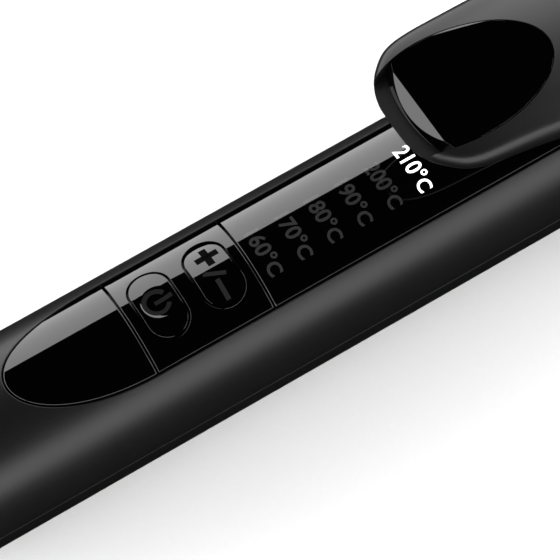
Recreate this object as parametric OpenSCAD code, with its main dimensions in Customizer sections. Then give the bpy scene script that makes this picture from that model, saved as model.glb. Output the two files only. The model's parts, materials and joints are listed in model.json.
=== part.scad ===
// Curling iron with a clamp lever, a fold-down stand and a swivel cord outlet.
// Millimetres. The handle axis runs along X, the tip points to +X, up is +Z.

/* [Handle] */
// Outside diameter of the round handle
handle_d = 34; // [30:0.5:38]
// Wall of the two half shells
shell_wall = 2.6; // [2.2:0.1:3.2]
// Handle length behind the control tile
handle_rear = 52; // [46:1:60]
// Handle length ahead of the control tile seam
handle_front = 112; // [108:1:118]
// Rounding of the rear shoulder
shoulder_r = 8; // [5:0.5:9]

/* [Inlay] */
// Half width of the inlay, measured along the arc
inlay_arc = 11.4; // [10:0.1:12.5]
// Length of the half-oval rear tile
cap_len = 24.4; // [18:0.1:26]
// Length of the control tile
control_len = 24; // [22:0.1:26]
// Where the window tile ends
window_end = 94; // [88:1:98]
// Thickness of the tiles
tile_t = 1.6; // [1.2:0.1:2]
// Width of the groove around the tiles
groove = 0.34; // [0.3:0.02:0.5]

/* [Buttons] */
// Length of both buttons along the handle
button_len = 7.8; // [7:0.1:9]
// Width of both buttons across the handle
button_wide = 13.7; // [12:0.1:14.5]
// Place of the power button
power_x = 6.3; // [5.5:0.1:7]
// Place of the temperature rocker
rocker_x = 17.7; // [17:0.1:18.5]
// Slope of each half of the rocker
rocker_slope = 18; // [12:0.5:20]
// First row of the temperature window
row_x = 27.5; // [27:0.1:28.5]
// Pitch of the temperature rows
row_pitch = 6.27; // [6:0.01:6.4]

/* [Barrel] */
// Outside diameter of the barrel
barrel_d = 25; // [19:0.5:26]
// Where the barrel ends
barrel_end = 268; // [240:1:280]
// Length of the cool tip
tip_len = 24; // [18:1:30]

/* [Clamp] */
// Place of the hinge pin along the handle
hinge_x = 122; // [121:0.5:123]
// Height of the hinge pin above the axis
hinge_z = 19; // [18.8:0.1:19.4]
// Opening travel of the clamp in degrees
clamp_open = 12; // [8:0.5:12]
// Half width of the clamp spoon
spoon_half = 10.2; // [8:0.1:11]
// Thickness of the spoon sheet
spoon_t = 1; // [0.8:0.1:1.2]

/* [Stand] */
// Place of the stand hinge
stand_x = 119; // [117:0.5:120]
// Reach of the stand ahead of its hinge
stand_reach = 27; // [24:0.5:32]
// Half width of the foot bar
stand_half = 22; // [20:0.5:26]

/* [View] */
// Piece to draw

/* [Hidden] */
$fn = 64;
r_h = handle_d / 2;
r_in = r_h - shell_wall;
r_b = barrel_d / 2;
x_rear = -handle_rear;
x_out = x_rear - 18;
x_tip = barrel_end + tip_len;
x_mid = (x_out + x_tip) / 2;
r_tile = r_h - tile_t;
screw_at = [-21.5, 70, 98];

// The iron is drawn about its own axis and then set on its underside.
module place() {
  translate([-x_mid, 0, r_h]) children();
}

// Round bar along X.
module bar_x(x0, x1, r, y = 0, z = 0) {
  translate([x0, y, z]) rotate([0, 90, 0]) cylinder(h = x1 - x0, r = r);
}

// Round bar along Y.
module bar_y(y0, y1, r, x, z) {
  translate([x, y0, z]) rotate([-90, 0, 0]) cylinder(h = y1 - y0, r = r);
}

// Upright round bar.
module bar_z(z0, z1, r, x, y = 0) {
  translate([x, y, z0]) cylinder(h = z1 - z0, r = r);
}

// Block between two corners.
module block(x0, x1, y0, y1, z0, z1) {
  translate([x0, y0, z0]) cube([x1 - x0, y1 - y0, z1 - z0]);
}

// Ring along X whose rounded shoulder sits at x, as a torus.
module shoulder(x, r_out, r_round) {
  translate([x, 0, 0]) rotate([0, 90, 0])
    rotate_extrude() translate([r_out - r_round, 0]) circle(r = r_round);
}

// Oblong with full-radius ends, seen from above.
module oblong(x, grow = 0) {
  half = button_wide / 2 + grow;
  r = button_len / 2 + grow;
  translate([x, half - r]) circle(r = r);
  translate([x, r - half]) circle(r = r);
  translate([x - r, r - half]) square([2 * r, 2 * (half - r)]);
}

// Plan of the inlay seen from above, smaller or larger by grow.
module cap_plan(grow, x_edge) {
  intersection() {
    polygon([for (i = [0:40]) let (t = -90 + i * 4.5)
      [-(cap_len + grow) * cos(t), r_h * sin((inlay_arc + grow) * sin(t) / r_h * 180 / PI)]]);
    translate([-40, -20]) square([40 + x_edge, 40]);
  }
}

module strip_plan(x0, x1, grow) {
  w = r_h * sin((inlay_arc + grow) / r_h * 180 / PI);
  translate([x0, -w]) square([x1 - x0, 2 * w]);
}

// Curved layer between two radii cut by a plan from above.
module layer(r0, r1) {
  difference() {
    intersection() {
      bar_x(-60, 130, r1);
      linear_extrude(height = 20) children();
    }
    bar_x(-61, 131, r0);
  }
}

// Whole outside of the handle, before it is parted.
module handle_form() {
  bar_x(x_rear + shoulder_r, handle_front, r_h);
  bar_x(x_rear, x_rear + shoulder_r, r_h - shoulder_r);
  shoulder(x_rear + shoulder_r, r_h, shoulder_r);
}

// Room inside the handle.
module handle_room() {
  bar_x(x_rear + shoulder_r, handle_front + 1, r_in);
  bar_x(x_rear + 2.6, x_rear + shoulder_r + 1, 12.05);
  bar_x(x_rear - 1, x_rear + 3, 5.9);
}

module handle_upper_shell() {
  color("#151516") difference() {
    union() {
      difference() {
        intersection() {
          handle_form();
          block(x_rear - 1, handle_front, -r_h - 1, r_h + 1, 0.1, r_h + 1);
        }
        handle_room();
        layer(r_tile - 0.05, r_h + 1) union() {
          cap_plan(groove / 2, 1);
          strip_plan(0, window_end + groove / 2, groove / 2);
        }
        linear_extrude(height = 20) oblong(power_x, 0.45);
        linear_extrude(height = 20) oblong(rocker_x, 0.5);
        block(24.8, 61.9, -6.6, 8.9, 5, 20);
      }
      for (x = screw_at) {
        bar_z(0.1, sqrt(r_in * r_in - 9), 3, x);
      }
    }
    for (x = screw_at) {
      bar_z(-1, 8, 1.15, x);
    }
  }
}

module handle_lower_shell() {
  color("#161617") difference() {
    union() {
      difference() {
        intersection() {
          handle_form();
          block(x_rear - 1, handle_front, -r_h - 1, r_h + 1, -r_h - 1, -0.1);
        }
        handle_room();
      }
      for (x = screw_at) {
        bar_z(-sqrt(r_in * r_in - 9), -0.1, 3, x);
      }
      for (x = [-13, 54], y = [-8, 8]) {
        bar_z(-sqrt(r_in * r_in - 81), -5.7, 1.8, x, y);
      }
    }
    for (x = screw_at) {
      bar_z(-r_h - 1, -12.4, 2.6, x);
      bar_z(-13, 0, 1.35, x);
    }
  }
}

module handle_screws() {
  color("#8d9096") for (x = screw_at) {
    difference() {
      union() {
        bar_z(-14.2, -12.4, 2.4, x);
        bar_z(-12.5, 6.6, 1.15, x);
      }
      translate([x - 1.7, -0.3, -14.3]) cube([3.4, 0.6, 0.9]);
      translate([x - 0.3, -1.7, -14.3]) cube([0.6, 3.4, 0.9]);
    }
  }
}

module rear_cap_tile() {
  color("#050506") layer(r_tile, r_h) cap_plan(-groove / 2, -groove / 2);
}

module control_tile() {
  color("#050506") difference() {
    layer(r_tile, r_h) strip_plan(groove / 2, control_len - groove / 2, -groove / 2);
    linear_extrude(height = 20) oblong(power_x, 0.3);
    linear_extrude(height = 20) oblong(rocker_x, 0.35);
  }
}

module window_tile() {
  color("#050506") layer(r_tile, r_h) strip_plan(control_len + groove / 2, window_end, -groove / 2);
}

// Button cap with a shallow round dish and a skirt that holds it under the shell.
module power_button() {
  color("#060607") difference() {
    union() {
      layer(r_in - 1.3, r_h - 0.02) oblong(power_x);
      layer(r_in - 1.3, r_in - 0.35) oblong(power_x, 1.1);
    }
    translate([power_x, 0, r_h + 10.4]) sphere(r = 10.9);
    block(power_x - 6, power_x + 6, -9, 9, 5, 10.9);
  }
}

module power_switch_plunger() {
  color("#d8d4c8") bar_z(11.4, sqrt(pow(r_in - 1.3, 2) - 1), 1, power_x);
}

// Rocker with a roof ridge along the handle, hung on a pin under the tile.
module temperature_rocker() {
  color("#060607") difference() {
    union() {
      difference() {
        layer(r_in - 0.8, r_h + 0.6) oblong(rocker_x);
        for (s = [-1, 1]) {
          translate([rocker_x - 8, 0, r_h + 0.22]) rotate([-s * rocker_slope, 0, 0])
            translate([0, s > 0 ? -0.5 : -11.5, 0]) cube([16, 12, 6]);
        }
      }
      block(rocker_x - 3.4, rocker_x + 3.4, -1.6, 1.6, 11.5, 14.2);
    }
    bar_x(rocker_x - 6, rocker_x + 6, 0.85, 0, 13);
  }
}

module rocker_pin() {
  color("#b9bcc2") bar_x(rocker_x - 5.6, rocker_x + 5.6, 0.8, 0, 13);
}

module rocker_bracket() {
  color("#d9d5c8") for (x = [rocker_x - 4.8, rocker_x + 4.8]) {
    difference() {
      block(x - 0.7, x + 0.7, -2.2, 2.2, 10.2, 13.9);
      bar_x(x - 1, x + 1, 0.8, 0, 13);
    }
  }
}

module display_board() {
  color("#1d5c35") block(1, 65, -8.5, 8.5, 9, 10.2);
}

// Small push switch with an open well for its plunger.
module tact(x, y) {
  difference() {
    block(x - 2.3, x + 2.3, y - 2.3, y + 2.3, 10.2, 12.3);
    bar_z(10.8, 13, 1.2, x, y);
  }
}

module power_switch() {
  color("#2a2b2e") tact(power_x, 0);
}

module temperature_switches() {
  color("#2a2b2e") for (y = [-4.9, 4.9]) {
    difference() {
      union() {
        block(rocker_x - 2.2, rocker_x + 2.2, y - 1.8, y + 1.8, 10.2, 11);
        bar_z(10.9, 12.1, 0.9, rocker_x, y);
      }
      block(rocker_x - 3, rocker_x + 3, y - 2.4, y + 2.4, 11.75, 13);
    }
  }
}

module row_leds() {
  color("#f2efe0") for (i = [0:5], y = [-1.8, 4.2]) {
    block(row_x + i * row_pitch - 0.8, row_x + i * row_pitch + 0.8, y - 0.5, y + 0.5, 10.2, 10.9);
  }
}

// Clear block that carries the light of each row up to the window tile.
module light_guide() {
  color("#dfe6ea") difference() {
    intersection() {
      bar_x(20, 70, r_tile - 0.1);
      block(25, 61.7, -6.4, 8.7, 11.4, 20);
    }
    for (i = [0:4]) {
      block(row_x + (i + 0.5) * row_pitch - 0.4, row_x + (i + 0.5) * row_pitch + 0.4, -7, 7, 11, 13.6);
    }
  }
}

module board_link() {
  color("#c9a24a") for (y = [-5, -2.5, 0, 2.5, 5]) {
    block(60.2, 60.9, y - 0.35, y + 0.35, -3.9, 8.9);
  }
}

module main_board() {
  color("#1f6a3c") difference() {
    block(-17.8, 66, -11, 11, -5.6, -4);
    for (x = [-13, 54], y = [-8, 8]) {
      bar_z(-6, -3, 1.1, x, y);
    }
  }
}

module triac() {
  color("#26272a") {
    block(28, 38, -6, 4, -3.9, 0.6);
    block(38, 42.5, -5.5, 3.5, -3.9, -2.6);
  }
}

module film_capacitor() {
  color("#b3402c") block(10, 23, -9.5, -3, -3.9, 6.5);
}

module electrolytic_capacitor() {
  color("#23304a") difference() {
    bar_x(8, 24, 4, 5, 0.2);
    bar_x(23.6, 25, 2.9, 5, 0.2);
  }
}

module control_chip() {
  color("#18191b") {
    block(46, 53, -3.5, 3.5, -3.7, -2.2);
    for (i = [0:6], s = [-1, 1]) {
      block(46.2 + i, 46.6 + i, s > 0 ? 3.4 : -4.6, s > 0 ? 4.6 : -3.4, -3.9, -3.2);
    }
  }
}

module board_fuse() {
  color("#d7d2c4") {
    bar_x(-14, -4, 2.4, -6, -1.4);
    bar_x(-16, -2, 0.4, -6, -1.4);
  }
}

// Bush held between the shells, with a chamber for the rotor flange.
module swivel_housing() {
  color("#2b2c2f") difference() {
    bar_x(x_rear + 2.7, x_rear + 15.5, 12);
    bar_x(x_rear + 2, x_rear + 8, 5.58);
    bar_x(x_rear + 7.6, x_rear + 16, 8.4);
  }
}

module swivel_retainer() {
  color("#c9c4b4") difference() {
    bar_x(x_rear + 10.9, x_rear + 14.4, 8.35);
    bar_x(x_rear + 10, x_rear + 15, 5.85);
  }
}

// Turning cord outlet with grip rings outside and a flange inside.
module swivel_rotor() {
  color("#17181a") difference() {
    union() {
      bar_x(x_out, x_rear + 14.4, 5.5);
      bar_x(x_rear + 8, x_rear + 10.5, 8);
      bar_x(x_rear + 14, x_rear + 26.4, 4);
    }
    bar_x(x_out - 1, x_rear + 12, 3.45);
    bar_x(x_rear + 11, x_rear + 27, 2.2);
    for (i = [0:3]) {
      difference() {
        bar_x(x_out + 3 + 3.4 * i, x_out + 4.4 + 3.4 * i, 7);
        bar_x(x_out + 2 + 3.4 * i, x_out + 5 + 3.4 * i, 4.9);
      }
    }
  }
}

module slip_rings() {
  color("#c58f3a") for (x = [x_rear + 15.6, x_rear + 20.8]) {
    difference() {
      bar_x(x, x + 3, 4.6);
      bar_x(x - 1, x + 4, 4);
    }
  }
}

module brush_contacts() {
  color("#d39a45") for (s = [-1, 1]) {
    x = s > 0 ? x_rear + 16.1 : x_rear + 21.3;
    block(x, x + 2, s > 0 ? 4.95 : -8, s > 0 ? 8 : -4.95, -1, 1);
  }
}

module brush_holder() {
  color("#cfc9b8") for (s = [-1, 1]) {
    block(x_rear + 15.6, x_rear + 27, s > 0 ? 8 : -10.4, s > 0 ? 10.4 : -8, -4, 4);
  }
}

module mains_leads() {
  color("#7a3a22") for (s = [-1, 1]) {
    difference() {
      union() {
        block(x_rear + 27, x_rear + 28.6, s * 9 - 0.8, s * 9 + 0.8, -3.9, 1);
        block(x_rear + 26.9, x_rear + 36, s * 9 - 0.8, s * 9 + 0.8, -3.9, -2.4);
      }
      block(x_rear + 26, x_rear + 27, -12, 12, -5, 5);
    }
  }
}

module front_collar() {
  color("#1b1b1d") difference() {
    union() {
      bar_x(handle_front + 0.2, handle_front + 12, r_h);
      bar_x(handle_front + 12, handle_front + 15, r_h - 3);
      shoulder(handle_front + 12, r_h, 3);
      bar_x(handle_front - 8, handle_front + 1, r_in - 0.05);
    }
    bar_x(handle_front - 9, handle_front + 16, r_b);
    intersection() {
      bar_x(hinge_x - 8.2, hinge_x + 8, r_b + 1.25);
      block(hinge_x - 8.2, hinge_x + 8, -7.8, 7.8, 0, 20);
    }
    for (s = [-1, 1]) {
      block(hinge_x - 8.2, hinge_x + 8, s * 6.8 - 0.9, s * 6.8 + 0.9, 10, 20);
    }
    block(hinge_x - 5, hinge_x + 6, -7.7, 7.7, 14.6, 20);
    bar_y(-r_h - 1, -13.9, 1.8, stand_x, -4);
    bar_y(13.9, r_h + 1, 1.8, stand_x, -4);
  }
}

module heat_shield() {
  color("#c9c0a0") difference() {
    bar_x(handle_front - 9.8, handle_front - 8.2, r_in - 0.1);
    for (s = [-1, 1]) {
      bar_x(handle_front - 11, handle_front - 7, 1.5, s * 5.2, 0);
    }
    block(handle_front - 11, handle_front - 7, -1, 1, 4, 7);
  }
}

module heater_leads() {
  color("#e8e4da") for (s = [-1, 1]) {
    bar_x(67, 149, 1.1, s * 5.2, 0);
  }
}

module thermal_fuse() {
  color("#c4c7cb") {
    bar_x(78, 90, 2, 0, -7);
    bar_x(75, 93, 0.5, 0, -7);
  }
}

module barrel_tube() {
  color("#2a2a2c") difference() {
    bar_x(handle_front - 8, barrel_end, r_b);
    bar_x(handle_front - 9, barrel_end + 1, r_b - 0.9);
  }
}

module insulating_sleeve() {
  color("#d8cfae") difference() {
    bar_x(handle_front - 8, 142, r_b - 0.95);
    bar_x(handle_front - 9, 143, r_b - 1.6);
  }
}

module heater_core() {
  color("#5a5d62") block(150, 244, -6.5, 6.5, -1.4, 1.4);
}

module heat_spreaders() {
  color("#b5b9be") for (s = [-1, 1]) {
    difference() {
      intersection() {
        bar_x(150, 244, r_b - 1);
        block(150, 244, -12, 12, s > 0 ? 1.45 : -12, s > 0 ? 12 : -1.45);
      }
      bar_x(149, 245, 3, 0, s * 6.4);
    }
  }
}

module thermistor() {
  color("#3b2a20") {
    bar_x(142.5, 156, 1.5, 0, 6.4);
    bar_x(120, 143, 0.5, 0, 6.4);
  }
}

module cool_tip() {
  color("#161617") difference() {
    union() {
      bar_x(barrel_end - 9.5, barrel_end, r_b - 0.95);
      bar_x(barrel_end + 0.1, barrel_end + 2.6, r_b);
      bar_x(barrel_end - 0.1, x_tip - 5, r_b - 1);
      bar_x(x_tip - 6, x_tip, r_b - 6);
      shoulder(x_tip - 5, r_b - 1, 5);
    }
    bar_x(barrel_end + 5.9, x_tip + 1, 3.2);
    bar_x(barrel_end - 11, barrel_end + 7, 1.6);
  }
}

module tip_insert() {
  color("#d9d2bf") difference() {
    bar_x(barrel_end - 16, barrel_end - 9.6, r_b - 0.95);
    bar_x(barrel_end - 17, barrel_end - 9, 1.5);
  }
}

module tip_screw() {
  color("#9a9da3") difference() {
    union() {
      bar_x(barrel_end - 13, barrel_end + 6, 1.5);
      bar_x(barrel_end + 5.9, barrel_end + 7.9, 2.8);
    }
    block(barrel_end + 7, barrel_end + 9, -2, 2, -0.35, 0.35);
  }
}

module tip_plug() {
  color("#101011") difference() {
    bar_x(x_tip - 3, x_tip - 0.3, 3.15);
    bar_x(x_tip - 4, x_tip - 1.5, 1.8);
  }
}

// Steel saddle on the barrel root with two ears for the hinge pin.
module hinge_bracket() {
  color("#a7abb1") difference() {
    union() {
      intersection() {
        difference() {
          bar_x(hinge_x - 8, hinge_x + 4.9, r_b + 1.2);
          bar_x(hinge_x - 9, hinge_x + 9, r_b);
        }
        block(hinge_x - 8, hinge_x + 4.9, -7.4, 7.4, 0, 20);
      }
      for (s = [-1, 1]) {
        block(hinge_x - 4, hinge_x + 4, s * 6.8 - 0.6, s * 6.8 + 0.6, 11.5, hinge_z);
        bar_y(s * 6.8 - 0.6, s * 6.8 + 0.6, 3.2, hinge_x, hinge_z);
      }
    }
    bar_x(hinge_x - 9, hinge_x + 9, r_b);
    bar_y(-10, 10, 1.5, hinge_x, hinge_z);
  }
}

module hinge_pin() {
  color("#c2c5ca") {
    bar_y(-10.4, 10.4, 1.5, hinge_x, hinge_z);
    bar_y(-11.2, -10.3, 2.4, hinge_x, hinge_z);
    bar_y(10.3, 11.2, 2.4, hinge_x, hinge_z);
  }
}

// Close-wound coil around the pin with one leg up under the channel.
module torsion_spring() {
  color("#8b8f96") {
    for (i = [-4:4]) {
      translate([hinge_x, i * 0.86, hinge_z]) rotate([90, 0, 0])
        rotate_extrude() translate([2.5, 0]) circle(r = 0.48);
    }
    translate([hinge_x - 2.5, -3.44, hinge_z]) cylinder(h = 5, r = 0.4);
  }
}

// Plan ring segment over the barrel between two angles set by half.
module barrel_arc(x0, x1, r0, r1, half) {
  intersection() {
    difference() {
      bar_x(x0, x1, r1);
      bar_x(x0 - 1, x1 + 1, r0);
    }
    block(x0, x1, -half, half, 0, r1 + 1);
  }
}

// Folded steel channel that joins the hinge, the spoon and the moulded lever.
module clamp_channel() {
  color("#9fa3a9") difference() {
    union() {
      translate([0, 6, 0]) rotate([90, 0, 0]) linear_extrude(height = 12)
        polygon([[96, 24.2], [125, 24.2], [135.2, 13.9], [137, 13.9], [137, 14.9], [135.6, 15.1],
          [125.5, 25.4], [96, 25.4]]);
      block(96, 126, -9.6, 9.6, 24.2, 25.4);
      barrel_arc(135, 148, r_b + 0.3 + spoon_t, r_b + 1.3 + spoon_t, 6);
      for (s = [-1, 1]) {
        block(hinge_x - 3.2, hinge_x + 3.2, s * 9 - 0.6, s * 9 + 0.6, hinge_z, 24.4);
        bar_y(s * 9 - 0.6, s * 9 + 0.6, 3.2, hinge_x, hinge_z);
      }
    }
    bar_y(-12, 12, 1.56, hinge_x, hinge_z);
    bar_x(130, 149, r_b + 0.3 + spoon_t);
    for (x = [101, 112]) {
      bar_z(23, 27, 1.35, x);
    }
    for (x = [140, 145]) {
      bar_z(10, 20, 1, x);
    }
  }
}

// Curved steel clamp lying along the top of the barrel.
module clamp_spoon() {
  color("#2f2f31") difference() {
    intersection() {
      difference() {
        bar_x(130, 270, r_b + 0.3 + spoon_t);
        bar_x(129, 271, r_b + 0.3);
      }
      linear_extrude(height = 20) union() {
        translate([136, -spoon_half]) square([116, 2 * spoon_half]);
        translate([252, 0]) circle(r = spoon_half);
      }
    }
    for (x = [140, 145]) {
      bar_z(10, 20, 1, x);
    }
  }
}

module clamp_rivets() {
  color("#b4b8be") for (x = [140, 145]) {
    bar_z(r_b + 0.45, r_b + 1.4 + spoon_t, 1, x);
    bar_z(r_b + 1.3 + spoon_t, r_b + 2.1 + spoon_t, 1.8, x);
  }
}

// Outer form of the moulded lever: broad rounded nose, widening over the handle.
module lever_form() {
  hull() {
    for (s = [-1, 1]) {
      translate([67.4, s * 4.7, 31.2]) scale([11.4, 10, 4.6]) sphere(r = 1, $fn = 48);
      translate([76, s * 5.2, 29.4]) scale([11, 10.2, 5.9]) sphere(r = 1, $fn = 48);
    }
    translate([104, 0, 18.5]) scale([15, 18, 12]) sphere(r = 1, $fn = 48);
    translate([123, 0, 18]) scale([13, 14, 10]) sphere(r = 1, $fn = 48);
  }
}

// Egg-shaped plan of the gloss pad: round nose end and a narrower front end.
module pad_plan(grow) {
  polygon([for (i = [0:71]) let (t = i * 5, k = 1 - 0.14 * cos(t))
    [69.4 + (18.7 + grow) * cos(t), (11.1 + grow) * k * sin(t)]]);
  translate([50, -10.2 - grow]) square([17, 20.4 + 2 * grow]);
}

module lever_pad() {
  color("#040405") difference() {
    intersection() {
      lever_form();
      linear_extrude(height = 40) pad_plan(-0.1);
    }
    translate([3, 0, -2.4]) lever_form();
    block(50, 63, -20, 20, 20, 31.4);
  }
}

module lever_body() {
  color("#19191b") difference() {
    lever_form();
    intersection() {
      linear_extrude(height = 40) pad_plan(0.1);
      difference() {
        block(50, 92, -20, 20, 20, 40);
        translate([2.9, 0, -2.5]) lever_form();
        block(50, 62.9, -20, 20, 20, 31.3);
      }
    }
    translate([hinge_x, 0, hinge_z]) rotate([0, clamp_open, 0]) translate([-hinge_x, 0, -hinge_z])
      bar_x(40, hinge_x + 1, r_h + 0.4);
    bar_x(40, handle_front + 15.4, r_h + 0.4);
    bar_x(120, 150, r_b + 2.9);
    block(95.6, 126.5, -11.6, 11.6, 10, 25.5);
    block(120, 137, -6.4, 6.4, 10, 25.5);
    block(118, 126, -12.6, 12.6, 10, 22.4);
    for (x = [101, 112]) {
      bar_z(24, 28.6, 1.15, x);
    }
  }
}

module lever_screws() {
  color("#8d9096") for (x = [101, 112]) {
    bar_z(22.6, 24.2, 2.4, x);
    bar_z(24.1, 28.2, 1.1, x);
  }
}

// Fold-down bail: two arms outside the collar and a bar under the barrel.
module stand_bail() {
  foot_x = stand_x + stand_reach;
  color("#141415") difference() {
    union() {
      for (s = [-1, 1]) {
        translate([0, s * 18.9 + 1.5, 0]) rotate([90, 0, 0]) linear_extrude(height = 3)
          polygon([[stand_x - 1.2, -7.6], [stand_x + 1.8, -0.6], [foot_x - 1, -13.6], [foot_x - 1, -15.9],
            [foot_x - 6, -15.9]]);
        bar_y(s * 18.9 - 1.5, s * 18.9 + 1.5, 4.2, stand_x, -4);
      }
      block(foot_x - 4, foot_x + 4, -stand_half, stand_half, -16.4, -13.2);
    }
    bar_y(-30, 30, 1.86, stand_x, -4);
    for (s = [-1, 1]) {
      bar_z(-17, -15.2, 3, foot_x, s * 16);
    }
  }
}

module stand_pins() {
  color("#b4b8be") for (s = [-1, 1]) {
    bar_y(s > 0 ? 14 : -20.7, s > 0 ? 20.7 : -14, 1.8, stand_x, -4);
    bar_y(s > 0 ? 20.6 : -21.5, s > 0 ? 21.5 : -20.6, 2.8, stand_x, -4);
  }
}

module stand_feet() {
  color("#3a3a3c") for (s = [-1, 1]) {
    bar_z(-r_h, -15.2, 3, stand_x + stand_reach, s * 16);
  }
}

place() handle_upper_shell();
place() handle_lower_shell();
place() front_collar();
place() rear_cap_tile();
place() control_tile();
place() window_tile();
place() handle_screws();
place() power_button();
place() power_switch_plunger();
place() temperature_rocker();
place() rocker_pin();
place() rocker_bracket();
place() display_board();
place() power_switch();
place() temperature_switches();
place() row_leds();
place() light_guide();
place() board_link();
place() main_board();
place() triac();
place() film_capacitor();
place() electrolytic_capacitor();
place() control_chip();
place() board_fuse();
place() swivel_housing();
place() swivel_retainer();
place() swivel_rotor();
place() slip_rings();
place() brush_contacts();
place() brush_holder();
place() mains_leads();
place() heat_shield();
place() heater_leads();
place() thermal_fuse();
place() barrel_tube();
place() insulating_sleeve();
place() heater_core();
place() heat_spreaders();
place() thermistor();
place() cool_tip();
place() tip_insert();
place() tip_screw();
place() tip_plug();
place() hinge_bracket();
place() hinge_pin();
place() torsion_spring();
place() clamp_channel();
place() clamp_spoon();
place() clamp_rivets();
place() lever_body();
place() lever_pad();
place() lever_screws();
place() stand_bail();
place() stand_pins();
place() stand_feet();
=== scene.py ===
import json
import math
import bmesh
import bpy
from mathutils import Matrix, Vector


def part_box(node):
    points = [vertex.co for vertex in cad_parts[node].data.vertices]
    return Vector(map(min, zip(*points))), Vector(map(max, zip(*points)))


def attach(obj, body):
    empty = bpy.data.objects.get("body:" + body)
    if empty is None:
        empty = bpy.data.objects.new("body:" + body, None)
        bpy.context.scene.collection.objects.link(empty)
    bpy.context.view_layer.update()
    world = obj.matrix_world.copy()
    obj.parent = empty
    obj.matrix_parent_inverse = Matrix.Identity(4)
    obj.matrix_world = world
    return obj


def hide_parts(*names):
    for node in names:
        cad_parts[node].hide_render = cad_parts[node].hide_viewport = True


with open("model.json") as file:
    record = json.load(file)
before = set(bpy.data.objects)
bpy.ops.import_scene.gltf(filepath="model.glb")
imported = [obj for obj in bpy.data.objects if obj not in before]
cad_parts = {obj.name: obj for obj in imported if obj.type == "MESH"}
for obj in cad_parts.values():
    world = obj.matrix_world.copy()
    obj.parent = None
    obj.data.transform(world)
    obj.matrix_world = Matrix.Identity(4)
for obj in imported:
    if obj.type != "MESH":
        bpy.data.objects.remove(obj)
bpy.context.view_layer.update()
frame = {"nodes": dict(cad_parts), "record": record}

node_objects = frame["nodes"]
MM = 0.001

# ---------------------------------------------------------------- studio
# The iron lies on a pale sweep inside a low white tent: light comes in from all sides up to
# about 45 degrees, and nothing hangs overhead, so gloss parts stay black on top.
seam_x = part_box("control_tile")[0].x - 0.17 * MM
axis_z = (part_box("barrel_tube")[0].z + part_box("barrel_tube")[1].z) / 2
grip_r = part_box("handle_upper_shell")[1].y

yaw, pitch, roll = -0.4287385, 1.0854871, -0.1289623
look_at = Vector((seam_x + 30.49 * MM, 0.24 * MM, axis_z))
back = Vector((math.sin(yaw) * math.cos(pitch), -math.cos(yaw) * math.cos(pitch), math.sin(pitch)))
side = Vector((math.cos(yaw), math.sin(yaw), 0))
top = back.cross(side)
cam_x = side * math.cos(roll) + top * math.sin(roll)
cam_y = top * math.cos(roll) - side * math.sin(roll)
camera = bpy.data.objects.new("camera", bpy.data.cameras.new("camera"))
bpy.context.scene.collection.objects.link(camera)
camera.data.sensor_width = 36
camera.data.lens = 195.03
camera.data.clip_start = 0.01
camera.matrix_world = Matrix.Translation(look_at + back * 0.5550) @ Matrix(
    (cam_x, cam_y, back)).transposed().to_4x4()
bpy.context.scene.camera = camera

scene_view = bpy.context.scene.view_settings
scene_view.view_transform = "Standard"
scene_view.look = "None"


class Value:
    """One shader socket. Sums and products of values add Math nodes to its material."""

    def __init__(self, finish, socket):
        self.finish, self.socket = finish, socket

    def _math(self, operation, *terms):
        return self.finish.add("Math", {"operation": operation}, dict(enumerate(terms)))

    def __add__(self, other):
        return self._math("ADD", self, other)

    def __sub__(self, other):
        return self._math("SUBTRACT", self, other)

    def __rsub__(self, other):
        return self._math("SUBTRACT", other, self)

    def __mul__(self, other):
        return self._math("MULTIPLY", self, other)

    __radd__ = __add__
    __rmul__ = __mul__


class Finish:
    """A material being made: add() places a node, feed() runs a value into the shader."""

    def __init__(self, name, sockets):
        self.material = bpy.data.materials.new(name)
        self.material.use_nodes = True
        self.tree = self.material.node_tree
        self.shader = self.tree.nodes["Principled BSDF"]
        for key, value in sockets.items():
            self.shader.inputs[key].default_value = value
        self.place = self.add("TexCoord", {}, {}, "Object")

    def add(self, kind, settings, inputs, output=0):
        node = self.tree.nodes.new("ShaderNode" + kind)
        for key, value in settings.items():
            if key == "stops":
                for stop, (at, colour) in zip(node.color_ramp.elements, value):
                    stop.position, stop.color = at, colour
            else:
                setattr(node, key, value)
        for key, value in inputs.items():
            if isinstance(value, Value):
                self.tree.links.new(value.socket, node.inputs[key])
            else:
                node.inputs[key].default_value = value
        return Value(self, node.outputs[output])

    def noise(self, scale, detail=3.0, stretch=(1, 1, 1)):
        place = self.add("Mapping", {}, {"Vector": self.place, "Scale": stretch})
        return self.add("TexNoise", {}, {"Vector": place, "Scale": scale, "Detail": detail}, "Fac")

    def blend(self, share, first, second):
        return self.add("Mix", {"data_type": "RGBA"}, {0: share, 6: first, 7: second}, 2)

    def feed(self, socket, value):
        self.tree.links.new(value.socket, self.shader.inputs[socket])

    def dents(self, height, depth):
        self.feed("Normal", self.add("Bump", {}, {"Strength": 1.0, "Distance": depth, "Height": height},
                                     "Normal"))


def paper_finish():
    paper = Finish("paper_sweep", {"Roughness": 0.7, "Specular IOR Level": 0.2})
    fibre = paper.noise(900.0)
    paper.feed("Base Color", paper.blend(fibre, (0.87, 0.87, 0.87, 1), (0.9, 0.9, 0.9, 1)))
    return paper.material


def glow_finish(name, strength):
    glow = Finish(name, {"Base Color": (0, 0, 0, 1), "Emission Color": (1, 1, 1, 1),
                         "Emission Strength": strength, "Roughness": 1.0, "Specular IOR Level": 0.0})
    return glow.material


def only(piece):
    """Makes one piece the only thing in hand."""
    bpy.ops.object.select_all(action="DESELECT")
    piece.select_set(True)
    bpy.context.view_layer.objects.active = piece
    return piece


def new_piece(name, adder, **sizes):
    """Adds a primitive with nothing else selected and names it."""
    bpy.ops.object.select_all(action="DESELECT")
    adder(**sizes)
    piece = bpy.context.object
    piece.name = piece.data.name = name
    return piece


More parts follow.
